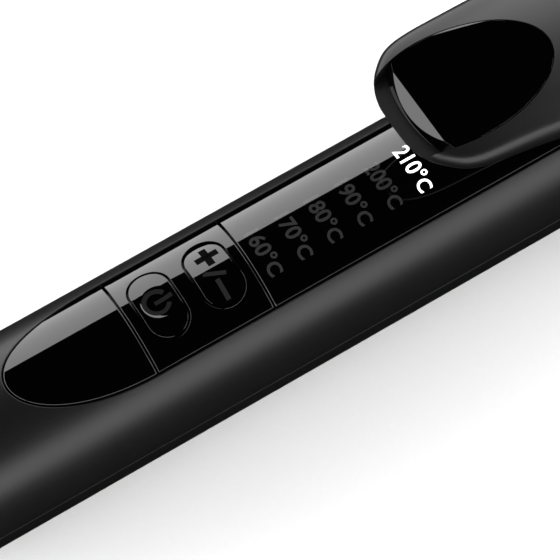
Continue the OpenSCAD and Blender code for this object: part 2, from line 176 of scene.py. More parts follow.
def pick(piece, passes):
    """In edit mode, selects the vertices whose place passes a test, and what lies between them."""
    bpy.ops.mesh.select_all(action="DESELECT")
    mesh = bmesh.from_edit_mesh(piece.data)
    for vertex in mesh.verts:
        vertex.select = bool(passes(vertex.co))
    mesh.select_flush(True)
    bmesh.update_edit_mesh(piece.data)


def tent_wall(name, low, high, near, strength):
    wall = new_piece(name, bpy.ops.mesh.primitive_cylinder_add, vertices=96, radius=1.6, depth=high - low,
                     end_fill_type="NOTHING", location=(0, 0, (low + high) / 2))
    only(wall)
    bpy.ops.object.transform_apply(location=True)
    bpy.ops.object.mode_set(mode="EDIT")
    pick(wall, lambda p: (p.y < -0.9) != near)
    bpy.ops.mesh.delete(type="VERT")
    bpy.ops.object.mode_set(mode="OBJECT")
    wall.data.materials.append(glow_finish(name + "_glow", strength))
    wall.visible_camera = False


floor = new_piece("floor", bpy.ops.mesh.primitive_plane_add, size=24)
floor.data.materials.append(paper_finish())
floor.visible_glossy = False
tent_wall("tent_far", 0.0, 1.55, False, 4.4)
tent_wall("tent_near", 0.12, 0.98, True, 5.5)
sweep = new_piece("backdrop", bpy.ops.mesh.primitive_cylinder_add, vertices=64, radius=11, depth=14,
                  end_fill_type="NOTHING", location=(0, 0, 6.9))
sweep.data.materials.append(glow_finish("backdrop_glow", 0.92))
for ray in ("visible_diffuse", "visible_glossy", "visible_transmission", "visible_shadow"):
    setattr(sweep, ray, False)
bpy.context.scene.world = bpy.data.worlds.new("studio")
bpy.context.scene.world.use_nodes = True
bpy.context.scene.world.node_tree.nodes["Background"].inputs["Color"].default_value = (0, 0, 0, 1)


# ---------------------------------------------------------------- handle shells
# Two moulded half shells of the round grip, sprayed with a soft-touch coat. The upper one
# is cut out for the inlay. They meet on the centre plane in a fine dark joint.
def soft_touch(name, shade=0.0034):
    coat = Finish(name, {"Specular IOR Level": 0.26})
    mottle = coat.noise(55.0, 4.0)
    grain = coat.noise(5200.0, 2.0)
    coat.feed("Base Color", coat.blend(mottle, (shade * 0.85,) * 3 + (1,), (shade * 1.2,) * 3 + (1,)))
    coat.feed("Roughness", 0.3 + mottle * 0.06 + grain * 0.05)
    coat.dents(grain + coat.noise(1500.0, 1.0) * 0.6, 0.00001)
    return coat.material


def edge_round(piece, size, steps, passes=lambda p: True, sharp=40):
    """Rounds the edges that are sharper than so many degrees and lie where the test says."""
    only(piece)
    bpy.ops.object.mode_set(mode="EDIT")
    bpy.ops.mesh.select_mode(type="EDGE")
    bpy.ops.mesh.select_all(action="DESELECT")
    mesh = bmesh.from_edit_mesh(piece.data)
    for edge in mesh.edges:
        middle = (edge.verts[0].co + edge.verts[1].co) / 2
        folded = len(edge.link_faces) == 2 and edge.calc_face_angle(0) > math.radians(sharp)
        edge.select = folded and bool(passes(middle))
    mesh.select_flush_mode()
    bmesh.update_edit_mesh(piece.data)
    bpy.ops.mesh.bevel(offset=size, segments=steps, affect="EDGES", clamp_overlap=False)
    bpy.ops.mesh.select_mode(type="VERT")
    bpy.ops.object.mode_set(mode="OBJECT")


def thicken(piece, depth):
    """Gives a flat outline its depth, downwards from its face."""
    only(piece)
    bpy.ops.object.mode_set(mode="EDIT")
    bpy.ops.mesh.select_all(action="SELECT")
    bpy.ops.mesh.extrude_region_move(TRANSFORM_OT_translate={"value": (0, 0, -depth)})
    bpy.ops.mesh.select_all(action="SELECT")
    bpy.ops.mesh.normals_make_consistent(inside=False)
    bpy.ops.object.mode_set(mode="OBJECT")


def rib(piece, pitch=0.4 * MM):
    """Cuts a flat piece into fine ribs along the handle, so that it can bend smoothly."""
    only(piece)
    low = min(v.co.y for v in piece.data.vertices)
    high = max(v.co.y for v in piece.data.vertices)
    bpy.ops.object.mode_set(mode="EDIT")
    for count in range(math.floor(low / pitch), math.ceil(high / pitch)):
        bpy.ops.mesh.select_all(action="SELECT")
        bpy.ops.mesh.bisect(plane_co=(0, (count + 0.5) * pitch, 0), plane_no=(0, 1, 0))
    bpy.ops.object.mode_set(mode="OBJECT")


def finish_modifier(piece, kind, settings):
    """Adds a modifier, sets it and applies it."""
    only(piece)
    modifier = piece.modifiers.new(kind.lower(), kind)
    for key, value in settings.items():
        setattr(modifier, key, value)
    bpy.ops.object.modifier_apply(modifier=modifier.name)


def bend_round(piece, radius, turn=0.0):
    """Rolls a ribbed flat piece about the handle axis; its face ends up at the radius."""
    only(piece)
    piece.rotation_euler = (math.pi / 2, 0, 0)
    bpy.ops.object.transform_apply(rotation=True)
    heights = [v.co.z for v in piece.data.vertices]
    finish_modifier(piece, "SIMPLE_DEFORM", {"deform_method": "BEND", "deform_axis": "X",
                                             "angle": (max(heights) - min(heights)) / radius})
    piece.rotation_euler = (-math.pi / 2, 0, 0)
    bpy.ops.object.transform_apply(rotation=True)
    piece.location = (0, 0, radius)
    bpy.ops.object.transform_apply(location=True)
    piece.rotation_euler = (turn, 0, 0)
    bpy.ops.object.transform_apply(rotation=True)
    piece.location = (0, 0, axis_z)
    bpy.ops.object.transform_apply(location=True)


def smooth(piece, angle=20.0, weighted=True):
    """Smooth shading with crisp edges, led by the large faces."""
    only(piece)
    bpy.ops.object.shade_smooth_by_angle(angle=math.radians(angle))
    if weighted:
        finish_modifier(piece, "WEIGHTED_NORMAL", {"keep_sharp": True, "weight": 80})


def cut(piece, tool, operation="DIFFERENCE"):
    """Cuts a piece with a tool, which is used up."""
    finish_modifier(piece, "BOOLEAN", {"object": tool, "operation": operation, "solver": "EXACT"})
    bpy.data.objects.remove(tool)


def settle(piece, body, finish, slot, *stands_for):
    """The last step of a piece: its material, its body and the nodes it stands for. The slot is not used."""
    piece.data.materials.clear()
    piece.data.materials.append(finish)
    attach(piece, body)
    if stands_for:
        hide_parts(*stands_for)
    return piece


def flat_plate(name, x0, x1, half):
    plate = new_piece(name, bpy.ops.mesh.primitive_plane_add, size=1, location=((x0 + x1) / 2, 0, 0))
    only(plate)
    plate.scale = (x1 - x0, 2 * half, 1)
    bpy.ops.object.transform_apply(location=True, scale=True)
    return plate


cap_len = 24.4 * MM
inlay_half = 11.4 * MM


def inlay_outline(name, grow, x_edge, x_end):
    """The half oval of the rear tile, drawn on to x_end when that lies beyond the oval."""
    outline = new_piece(name, bpy.ops.mesh.primitive_circle_add, vertices=192, radius=1, fill_type="NGON")
    outline.scale = (cap_len + grow, inlay_half + grow, 1)
    outline.location = (seam_x, 0, 0)
    bpy.ops.object.transform_apply(location=True, scale=True)
    bpy.ops.object.mode_set(mode="EDIT")
    bpy.ops.mesh.select_all(action="SELECT")
    bpy.ops.mesh.bisect(plane_co=(x_edge, 0, 0), plane_no=(1, 0, 0), clear_outer=True)
    if x_end > x_edge:
        pick(outline, lambda p: p.x > x_edge - 1e-6)
        bpy.ops.mesh.extrude_edges_move(TRANSFORM_OT_translate={"value": (x_end - x_edge, 0, 0)})
    bpy.ops.object.mode_set(mode="OBJECT")
    return outline


shell_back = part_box("handle_upper_shell")[0].x
shell_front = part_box("handle_upper_shell")[1].x
shoulder_r = 8 * MM
shell_wall = 2.6 * MM
half_round = grip_r * math.pi / 2
window_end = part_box("window_tile")[1].x


def shell_shoulder(name):
    """The rounded rear of a half shell: its wall profile spun half a turn."""
    piece = new_piece(name, bpy.ops.mesh.primitive_plane_add, size=1)
    bpy.ops.object.mode_set(mode="EDIT")
    bpy.ops.mesh.select_all(action="SELECT")
    bpy.ops.mesh.merge(type="CENTER")
    rim = [(shell_back + shoulder_r, grip_r - shell_wall)]
    centre_x, centre_r = shell_back + shoulder_r, grip_r - shoulder_r
    arc = [(centre_x - shoulder_r * math.sin(math.radians(a)),
            centre_r + shoulder_r * math.cos(math.radians(a))) for a in range(0, 91, 5)]
    mouth = 5.9 * MM
    rim += arc + [(shell_back, mouth + 0.4 * MM), (shell_back + 0.12 * MM, mouth + 0.12 * MM),
                  (shell_back + 0.4 * MM, mouth), (shell_back + 2.6 * MM, mouth)]
    inner = shoulder_r - shell_wall
    rim += [(centre_x - inner * math.sin(math.radians(a)), centre_r + inner * math.cos(math.radians(a)))
            for a in range(90, -1, -10)]
    x, y = rim[0]
    bpy.ops.transform.translate(value=(x, 0, y))
    for nx, ny in rim[1:]:
        bpy.ops.mesh.extrude_region_move(TRANSFORM_OT_translate={"value": (nx - x, 0, ny - y)})
        x, y = nx, ny
    bpy.ops.mesh.select_all(action="SELECT")
    bpy.ops.mesh.remove_doubles(threshold=1e-7)
    bpy.ops.mesh.select_all(action="SELECT")
    gap = 0.1 * MM / grip_r
    bpy.ops.mesh.spin(steps=134, angle=math.pi - 2 * gap, center=(0, 0, 0), axis=(1, 0, 0))
    bpy.ops.mesh.select_all(action="SELECT")
    bpy.ops.mesh.remove_doubles(threshold=1e-7)
    bpy.ops.mesh.select_all(action="DESELECT")
    bpy.ops.mesh.select_non_manifold()
    bpy.ops.mesh.edge_face_add()
    bpy.ops.mesh.select_all(action="SELECT")
    bpy.ops.mesh.normals_make_consistent(inside=False)
    bpy.ops.object.mode_set(mode="OBJECT")
    return piece


upper = flat_plate("upper_shell", shell_back + shoulder_r, shell_front, half_round - 0.1 * MM)
thicken(upper, shell_wall)
opening = inlay_outline("opening", 0.17 * MM, seam_x, window_end + 0.17 * MM)
opening.location.z = 1 * MM
bpy.ops.object.transform_apply(location=True)
thicken(opening, 2.65 * MM)
cut(upper, opening)
edge_round(upper, 0.22 * MM, 4, lambda p: p.z > -0.01 * MM and shell_back + shoulder_r + MM < p.x)
rib(upper)
bend_round(upper, grip_r)
smooth(upper)
settle(upper, "handle", soft_touch("soft_touch_upper"), "soft_black", "handle_upper_shell")

lower = flat_plate("lower_shell", shell_back + shoulder_r, shell_front, half_round - 0.1 * MM)
thicken(lower, shell_wall)
screw_low, screw_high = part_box("handle_screws")
screw_xs = (screw_low.x + 2.4 * MM, seam_x + 70 * MM, screw_high.x - 2.4 * MM)
for screw_x in screw_xs:
    well = new_piece("well", bpy.ops.mesh.primitive_cylinder_add, vertices=64, radius=2.6 * MM, depth=6 * MM,
                     location=(screw_x, 0, 0))
    bpy.ops.object.transform_apply(location=True)
    cut(lower, well)
edge_round(lower, 0.22 * MM, 4, lambda p: p.z > -0.01 * MM and shell_back + shoulder_r + MM < p.x)
rib(lower)
bend_round(lower, grip_r, math.pi)
smooth(lower)
settle(lower, "handle", soft_touch("soft_touch_lower"), "soft_black", "handle_lower_shell")

for name, turn in (("upper_shell_rear", 0.0), ("lower_shell_rear", math.pi)):
    rear = shell_shoulder(name)
    rear.rotation_euler = (math.pi / 2 + turn, 0, 0)
    only(rear)
    bpy.ops.object.transform_apply(rotation=True)
    rear.location = (0, 0, axis_z)
    bpy.ops.object.transform_apply(location=True)
    smooth(rear, 30.0)
    settle(rear, "handle", soft_touch("soft_touch_" + name), "soft_black")


# ---------------------------------------------------------------- inlay tiles
# Three piano-black tiles lie flush in the upper shell behind hair-fine joints. They are
# moulded, polished and held by tape; their rims are slightly rounded.
def piano_gloss(name):
    gloss = Finish(name, {"Base Color": (0.0004, 0.0004, 0.00042, 1), "Specular IOR Level": 0.5,
                          "IOR": 1.5})
    smudge = gloss.noise(38.0, 5.0)
    hair = gloss.noise(900.0, 2.0, (0.06, 1.0, 1.0))
    gloss.feed("Roughness", 0.012 + smudge * 0.03 + hair * 0.008)
    gloss.dents(gloss.noise(160.0, 1.0), 0.0000015)
    return gloss.material


gap_half = 0.17 * MM
tile_depth = 1.55 * MM
control_len = 24 * MM


def oblong(name, x, half_x, half_s, z=0.0):
    """A button outline: a circle drawn apart into straight sides and full-radius ends."""
    shape = new_piece(name, bpy.ops.mesh.primitive_circle_add, vertices=96, radius=half_x, fill_type="NGON")
    bpy.ops.object.mode_set(mode="EDIT")
    for sign in (1, -1):
        pick(shape, lambda p: p.y * sign > 1e-7 or (sign > 0 and abs(p.y) < 1e-7))
        bpy.ops.transform.translate(value=(0, sign * (half_s - half_x), 0))
        bpy.ops.mesh.select_all(action="DESELECT")
    bpy.ops.object.mode_set(mode="OBJECT")
    shape.location = (x, 0, z)
    bpy.ops.object.transform_apply(location=True)
    return shape


power_x = (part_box("power_button")[0].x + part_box("power_button")[1].x) / 2
rocker_x = (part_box("temperature_rocker")[0].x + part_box("temperature_rocker")[1].x) / 2
button_half_x = 3.78 * MM
button_half_s = 6.93 * MM
button_gap = 0.46 * MM


def tile(name, outline, holes=()):
    thicken(outline, tile_depth)
    for x in holes:
        hole = oblong("hole", x, button_half_x + button_gap, button_half_s + button_gap, MM)
        thicken(hole, 4 * MM)
        cut(outline, hole)

    def near_hole(p):
        return any(abs(p.x - x) < 4.4 * MM and abs(p.y) < 7.6 * MM for x in holes)

    edge_round(outline, 0.07 * MM, 3, lambda p: p.z > -0.01 * MM and near_hole(p))
    edge_round(outline, 0.2 * MM, 5, lambda p: p.z > -0.01 * MM and not near_hole(p))
    rib(outline)
    bend_round(outline, grip_r)
    smooth(outline)
    settle(outline, "handle", piano_gloss("piano_" + name), "gloss_black", name)


tile("rear_cap_tile", inlay_outline("rear_cap_gloss", -gap_half, seam_x - gap_half, seam_x - 1))
tile("control_tile", flat_plate("control_gloss", seam_x + gap_half, seam_x + control_len - gap_half,
                                inlay_half - gap_half), (power_x, rocker_x))
tile("window_tile", flat_plate("window_gloss", seam_x + control_len + gap_half, window_end,
                               inlay_half - gap_half))


# ---------------------------------------------------------------- power button
# A gloss cap with a shallow round dish, pressed straight down on a small switch. Its sign
# is printed in the dish in matt grey.
def matt_print(name, shade):
    ink = Finish(name, {"Specular IOR Level": 0.0, "Emission Color": (1, 1, 1, 1), "Emission Strength": 0.0})
    speck = ink.noise(2600.0, 2.0)
    ink.feed("Base Color", ink.blend(speck, (shade * 0.9,) * 3 + (1,), (shade * 1.1,) * 3 + (1,)))
    ink.feed("Roughness", 0.76 + speck * 0.08)
    return ink.material


def ink_on(mark, cap):
    """Lays a flat mark on a cap that is still flat, and gives it the thickness of ink."""
    rib(mark)
    finish_modifier(mark, "SHRINKWRAP", {"target": cap, "wrap_method": "PROJECT", "use_project_z": True,
                                         "use_negative_direction": True, "use_positive_direction": False,
                                         "offset": 0.006 * MM})
    finish_modifier(mark, "SOLIDIFY", {"thickness": 0.02 * MM, "offset": -1.0})


def bar(name, x0, x1, y0, y1):
    mark = new_piece(name, bpy.ops.mesh.primitive_plane_add, size=1,
                     location=((x0 + x1) / 2, (y0 + y1) / 2, 2 * MM))
    mark.scale = (x1 - x0, y1 - y0, 1)
    bpy.ops.object.transform_apply(location=True, scale=True)
    return mark


def mend(piece, pitch=0.2 * MM):
    """Cuts a mark across as well, so that it can follow a dish."""
    only(piece)
    low = min(v.co.x for v in piece.data.vertices)
    high = max(v.co.x for v in piece.data.vertices)
    bpy.ops.object.mode_set(mode="EDIT")
    for count in range(math.floor(low / pitch), math.ceil(high / pitch)):
        bpy.ops.mesh.select_all(action="SELECT")
        bpy.ops.mesh.bisect(plane_co=((count + 0.5) * pitch, 0, 0), plane_no=(1, 0, 0))
    bpy.ops.object.mode_set(mode="OBJECT")


power_cap = oblong("power_cap", power_x, button_half_x, button_half_s, 0.0)
thicken(power_cap, 3.0 * MM)
edge_round(power_cap, 0.09 * MM, 4, lambda p: p.z > -0.01 * MM)
dish = new_piece("dish", bpy.ops.mesh.primitive_uv_sphere_add, segments=160, ring_count=120, radius=9.4 * MM,
                 location=(power_x + 0.2 * MM, 0.2 * MM, 8.83 * MM))
bpy.ops.object.transform_apply(location=True)
cut(power_cap, dish)
rib(power_cap)

power_ring = new_piece("power_sign_ring", bpy.ops.mesh.primitive_plane_add, size=1)
power_ring.scale = (0.85 * MM, 0.001 * MM, 1)
power_ring.location = (2.25 * MM, 0, 2 * MM)
bpy.ops.object.transform_apply(location=True, scale=True)
bpy.ops.object.mode_set(mode="EDIT")
pick(power_ring, lambda p: p.y > 0)
bpy.ops.mesh.delete(type="VERT")
bpy.ops.mesh.select_all(action="SELECT")
bpy.ops.mesh.spin(steps=56, angle=math.radians(300), center=(0, 0, 2 * MM), axis=(0, 0, 1))
bpy.ops.object.mode_set(mode="OBJECT")
power_ring.rotation_euler = (0, 0, math.radians(30))
bpy.ops.object.transform_apply(rotation=True)
if abs(sum(v.co.y for v in power_ring.data.vertices)) > 5 * MM:
    power_ring.rotation_euler = (0, 0, math.radians(-60))
    bpy.ops.object.transform_apply(rotation=True)
power_ring.location = (power_x - 0.1 * MM, 0.3 * MM, 0)
bpy.ops.object.transform_apply(location=True)
power_bar = bar("power_sign_bar", power_x - 0.5 * MM, power_x + 3.0 * MM, -0.12 * MM, 0.72 * MM)
mend(power_bar)
for mark in (power_ring, power_bar):
    ink_on(mark, power_cap)
    bend_round(mark, grip_r)
    smooth(mark, weighted=False)
    settle(mark, "power_button", matt_print("ink_" + mark.name, 0.009), "gloss_black")
bend_round(power_cap, grip_r)
smooth(power_cap, 16.0)
settle(power_cap, "power_button", piano_gloss("piano_power_cap"), "gloss_black", "power_button")


# ---------------------------------------------------------------- temperature rocker
# A gloss cap with a roof ridge along the handle. It tips on a pin, plus side and minus
# side, and carries matt signs on both slopes.
ridge_y = 0.3 * MM
ridge_up = 0.42 * MM
slope = math.radians(7.6)
rocker_cap = oblong("rocker_cap", rocker_x, button_half_x, button_half_s, 0.0)
rocker_cap.location.z = ridge_up + 0.2 * MM
bpy.ops.object.transform_apply(location=True)
thicken(rocker_cap, 3.4 * MM)
for sign in (1, -1):
    wedge = new_piece("wedge", bpy.ops.mesh.primitive_cube_add, size=20 * MM)
    wedge.location = (0, sign * 9.5 * MM, 10 * MM)
    bpy.ops.object.transform_apply(location=True)
    wedge.rotation_euler = (-sign * slope, 0, 0)
    bpy.ops.object.transform_apply(rotation=True)
    wedge.location = (rocker_x, ridge_y, ridge_up)
    bpy.ops.object.transform_apply(location=True)
    cut(rocker_cap, wedge)
edge_round(rocker_cap, 0.09 * MM, 4,
           lambda p: p.z > -1.2 * MM and (abs(p.x - rocker_x) > 3.6 * MM or abs(p.y) > 3.0 * MM))
edge_round(rocker_cap, 0.12 * MM, 2, lambda p: abs(p.y - ridge_y) < 0.05 * MM and p.z > 0.1 * MM, 12)
rib(rocker_cap)

marks = [bar("plus_sign_across", rocker_x - 0.2 * MM, rocker_x + 1.2 * MM, 1.1 * MM, 5.6 * MM),
         bar("plus_sign_along", rocker_x - 1.75 * MM, rocker_x + 2.75 * MM, 2.65 * MM, 4.05 * MM),
         bar("minus_sign", rocker_x - 0.65 * MM, rocker_x + 0.25 * MM, -5.95 * MM, -1.7 * MM),
         bar("slash_sign", -2.1 * MM, 2.1 * MM, -0.38 * MM, 0.38 * MM)]
marks[3].rotation_euler = (0, 0, math.atan2(-1.6, 3.8))
marks[3].location = (rocker_x - 0.1 * MM, -0.6 * MM, 0)
only(marks[3])
bpy.ops.object.transform_apply(location=True, rotation=True)
for mark in marks:
    mend(mark, 0.5 * MM)
    ink_on(mark, rocker_cap)
    bend_round(mark, grip_r)
    smooth(mark, weighted=False)
    # The plus sign's ink is a darker grey than the minus and slash: this is painted shade for the slope it
    # sits on, since all signs are the same print.
    ink_tone_with_painted_shade = 0.003 if "plus" in mark.name else 0.012
    settle(mark, "temperature_rocker", matt_print("ink_" + mark.name, ink_tone_with_painted_shade), "gloss_black")
bend_round(rocker_cap, grip_r)
smooth(rocker_cap, 16.0)
settle(rocker_cap, "temperature_rocker", piano_gloss("piano_rocker_cap"), "gloss_black",
       "temperature_rocker")


# ---------------------------------------------------------------- temperature rows
# Six settings show through the window tile, one lit at a time by the diodes behind it. The
# numerals are masked in the tile, so they share its polish.
row_shade = 0.021
for count, setting in enumerate(range(160, 220, 10)):
    lit = setting == 210
    row = new_piece("row_%d" % setting, bpy.ops.object.text_add)
    row.data.body = "%d°c" % setting
    row.data.small_caps_scale = 0.88
    row.data.body_format[4].use_small_caps = True
    row.data.size = 1.0
    row.data.offset = 0.012 if lit else 0.022
    row.data.resolution_u = 6
    bpy.ops.object.convert(target="MESH")
    row = bpy.context.object
    xs = [v.co.x for v in row.data.vertices]
    ys = [v.co.y for v in row.data.vertices]
    row.location = (-(max(xs) + min(xs)) / 2, -(max(ys) + min(ys)) / 2, 0)
    bpy.ops.object.transform_apply(location=True)
    row.scale = (9.9 * MM / (max(xs) - min(xs)), 3.3 * MM / (max(ys) - min(ys)), 1)
    bpy.ops.object.transform_apply(scale=True)
    row.rotation_euler = (0, 0, -math.pi / 2)
    bpy.ops.object.transform_apply(rotation=True)
    row.location = (seam_x + (27.5 + 6.27 * count) * MM, -1.4 * MM, 0.012 * MM)
    bpy.ops.object.transform_apply(location=True)
    bpy.ops.object.mode_set(mode="EDIT")
    bpy.ops.mesh.select_all(action="SELECT")
    bpy.ops.mesh.remove_doubles(threshold=1e-6)
    bpy.ops.object.mode_set(mode="OBJECT")
    thicken(row, 0.05 * MM)
    rib(row)
    bend_round(row, grip_r)
    smooth(row, weighted=False)
    finish = Finish("row_ink_%d" % setting, {
        "Base Color": (0.9, 0.9, 0.9, 1) if lit else (row_shade, row_shade, row_shade, 1),
        "Emission Color": (1, 1, 1, 1), "Emission Strength": 1.2 if lit else 0.0})
    finish.feed("Roughness", 0.015 + finish.noise(38.0, 5.0) * 0.03)
    settle(row, "handle", finish.material, "gloss_black")


# ---------------------------------------------------------------- screws and refined metalwork
# Small turned and pressed parts keep their drawn shape; each is merged, its corners are
# broken as in manufacture, and it gets its own metal or moulded finish.
def moulded(name, colour, rough=0.5, grain_depth=0.000006):
    resin = Finish(name, {})
    cloud, fine = resin.noise(70.0, 4.0), resin.noise(3800.0, 2.0)
    resin.feed("Base Color", resin.blend(cloud, tuple(c * 0.86 for c in colour) + (1,),
                                         tuple(min(1.0, c * 1.14) for c in colour) + (1,)))
    resin.feed("Roughness", (rough - 0.06) + cloud * 0.08 + fine * 0.04)
    resin.dents(fine, grain_depth)
    return resin.material


def drawn_metal(name, colour, rough):
    metal = Finish(name, {"Metallic": 1.0})
    lines = metal.noise(1600.0, 4.0, (0.05, 1.0, 1.0))
    stain = metal.noise(60.0, 4.0)
    metal.feed("Base Color", metal.blend(stain, tuple(c * 0.82 for c in colour) + (1,), colour + (1,)))
    metal.feed("Roughness", (rough - 0.08) + lines * 0.14 + stain * 0.06)
    metal.dents(lines, 0.000002)
    return metal.material


body_of_node = {n: body for body, names in frame["record"]["behaviour"]["bodies"].items() for n in names}
slot_of_node = {s["node"]: s["material_slot"] for s in frame["record"]["subparts"]}


flat_within = math.radians(1.5)
corner_past = math.radians(35)


def refined(node, size, steps, finish):
    """A merged copy of a drawn part with its corners broken, standing for the drawn one."""
    source = node_objects[node]
    piece = source.copy()
    piece.data = source.data.copy()
    piece.name = piece.data.name = node + "_finished"
    for key in list(piece.keys()):
        del piece[key]
    bpy.context.scene.collection.objects.link(piece)
    piece.parent = None
    piece.matrix_world = Matrix.Identity(4)
    only(piece)
    if piece.data.has_custom_normals:
        bpy.ops.mesh.customdata_custom_splitnormals_clear()
    bpy.ops.object.mode_set(mode="EDIT")
    bpy.ops.mesh.select_all(action="SELECT")
    bpy.ops.mesh.remove_doubles(threshold=1e-6)
    bpy.ops.mesh.dissolve_limited(angle_limit=flat_within)
    bpy.ops.object.mode_set(mode="OBJECT")
    finish_modifier(piece, "BEVEL", {"width": size, "segments": steps, "limit_method": "ANGLE",
                                     "angle_limit": corner_past, "use_clamp_overlap": True})
    smooth(piece, 30.0)
    return settle(piece, body_of_node[node], finish, slot_of_node[node], node)


steel = drawn_metal("zinc_steel", (0.56, 0.57, 0.6), 0.34)
refined("handle_screws", 0.12 * MM, 2, steel)


# ---------------------------------------------------------------- front collar
# A heat-resistant moulded ring closes the front of the grip and holds the barrel root.
heat_resin = moulded("heat_resin", (0.012, 0.012, 0.0125), 0.46)
refined("front_collar", 0.25 * MM, 3, heat_resin)


# ---------------------------------------------------------------- swivel outlet
# The cord leaves through a turning outlet with grip rings. Inside, slip rings and brushes
# carry the mains across; the bush and its ring hold the outlet in the shells.
refined("swivel_rotor", 0.2 * MM, 3, moulded("outlet_resin", (0.016, 0.016, 0.017), 0.42))
brass = drawn_metal("drawn_brass", (0.75, 0.52, 0.2), 0.3)
nylon = moulded("natural_nylon", (0.74, 0.7, 0.6), 0.48)
black_resin = moulded("black_resin", (0.02, 0.02, 0.022), 0.5)


def coat(nodes, finish):
    """Gives drawn parts that keep their mesh a better finish."""
    for node in nodes:
        slots = node_objects[node].material_slots
        for spot in slots:
            spot.material = finish


coat(["slip_rings", "brush_contacts", "board_link"], brass)
coat(["swivel_retainer", "brush_holder", "rocker_bracket", "power_switch_plunger"], nylon)
coat(["swivel_housing"], black_resin)


# ---------------------------------------------------------------- boards and switches
# A control board and a display board on coated laminate, with the switches under the caps,
# the row diodes and the clear guide that carries their light to the window.
laminate = Finish("coated_laminate", {"Roughness": 0.35})
weave = laminate.add("TexWave", {"wave_type": "BANDS"}, {"Vector": laminate.place, "Scale": 900.0}, "Fac")
laminate.feed("Base Color", laminate.blend(weave, (0.014, 0.085, 0.035, 1), (0.02, 0.12, 0.05, 1)))
laminate.dents(weave, 0.00001)
coat(["main_board", "display_board"], laminate.material)
coat(["power_switch", "temperature_switches", "triac", "control_chip"], black_resin)
coat(["electrolytic_capacitor"], moulded("sleeve_blue", (0.02, 0.035, 0.09), 0.3))
coat(["film_capacitor"], moulded("dipped_red", (0.42, 0.06, 0.03), 0.25))
coat(["mains_leads"], moulded("lead_brown", (0.16, 0.05, 0.02), 0.45))
coat(["rocker_pin"], steel)
ceramic = moulded("fired_ceramic", (0.66, 0.6, 0.45), 0.6)
coat(["board_fuse", "heat_shield", "insulating_sleeve"], ceramic)
clear = Finish("clear_acrylic", {"Transmission Weight": 0.85, "IOR": 1.49})
clear.feed("Base Color", clear.blend(clear.noise(200.0), (0.85, 0.9, 0.92, 1), (0.92, 0.95, 0.96, 1)))
clear.feed("Roughness", 0.06 + clear.noise(500.0) * 0.1)
coat(["light_guide"], clear.material)
coat(["row_leds"], moulded("diode_resin", (0.8, 0.78, 0.6), 0.3))


# ---------------------------------------------------------------- barrel and heater
# An aluminium tube with a dark satin ceramic coat. A plate heater sits in it between two
# aluminium spreaders, with a sensor bead, a mica sleeve at the root and braided leads.
def satin_coat(name):
    glaze = Finish(name, {"Metallic": 0.35, "Coat Roughness": 0.2})
    streak = glaze.noise(420.0, 4.0, (0.04, 1.0, 1.0))
    fleck = glaze.noise(3200.0, 2.0)
    glaze.feed("Base Color", glaze.blend(fleck, (0.035, 0.035, 0.037, 1), (0.055, 0.055, 0.058, 1)))
    glaze.feed("Roughness", 0.24 + streak * 0.1 + fleck * 0.05)
    glaze.dents(streak + fleck * 0.5, 0.000003)
    return glaze.material


barrel_coat = satin_coat("ceramic_coat")
refined("barrel_tube", 0.2 * MM, 3, barrel_coat)
coat(["heat_spreaders"], drawn_metal("extruded_aluminium", (0.72, 0.73, 0.75), 0.32))
coat(["heater_core"], moulded("heater_grey", (0.18, 0.18, 0.19), 0.55))
coat(["thermistor"], moulded("sensor_glass", (0.12, 0.05, 0.02), 0.2))
coat(["heater_leads"], moulded("braided_sleeve", (0.7, 0.68, 0.62), 0.8, 0.00006))
coat(["thermal_fuse", "tip_screw"], steel)


# ---------------------------------------------------------------- cool tip
# The hand can hold the iron at its moulded tip, which stands off the barrel on a ceramic
# plug and one long screw; a small plug hides the screw.
refined("cool_tip", 0.25 * MM, 3, moulded("tip_resin", (0.013, 0.013, 0.0135), 0.44))
refined("tip_plug", 0.1 * MM, 2, heat_resin)
coat(["tip_insert"], ceramic)


# ---------------------------------------------------------------- clamp hinge
# A pressed saddle on the barrel root carries a riveted pin. A close-wound spring round the
# pin keeps the clamp shut.
refined("hinge_bracket", 0.12 * MM, 2, steel)
refined("hinge_pin", 0.15 * MM, 3, steel)
coat(["torsion_spring"], drawn_metal("spring_wire", (0.45, 0.46, 0.48), 0.28))


# ---------------------------------------------------------------- clamp spoon
# A curved steel leaf with the barrel's satin coat, riveted to the folded channel that
# reaches back to the hinge and into the moulded lever.
refined("clamp_channel", 0.12 * MM, 2, steel)
refined("clamp_rivets", 0.2 * MM, 3, steel)
spoon_low, spoon_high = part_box("clamp_spoon")
spoon_r = 13.8 * MM
spoon_half = spoon_r * math.asin(spoon_high.y / spoon_r)
spoon = new_piece("clamp_leaf", bpy.ops.mesh.primitive_circle_add, vertices=96, radius=spoon_half,
                  fill_type="NGON")
bpy.ops.object.mode_set(mode="EDIT")
bpy.ops.mesh.select_all(action="SELECT")
bpy.ops.mesh.bisect(plane_co=(0, 0, 0), plane_no=(-1, 0, 0), clear_outer=True)
pick(spoon, lambda p: p.x < 1e-7)
spoon_run = spoon_high.x - spoon_low.x - spoon_half
bpy.ops.mesh.extrude_edges_move(TRANSFORM_OT_translate={"value": (-spoon_run, 0, 0)})
bpy.ops.object.mode_set(mode="OBJECT")
spoon.location = (spoon_high.x - spoon_half, 0, 0)
bpy.ops.object.transform_apply(location=True)
thicken(spoon, 1.0 * MM)
edge_round(spoon, 0.3 * MM, 4)
rib(spoon)
bend_round(spoon, spoon_r)
smooth(spoon, 30.0)
settle(spoon, "clamp", satin_coat("ceramic_coat_leaf"), "barrel_coat", "clamp_spoon")


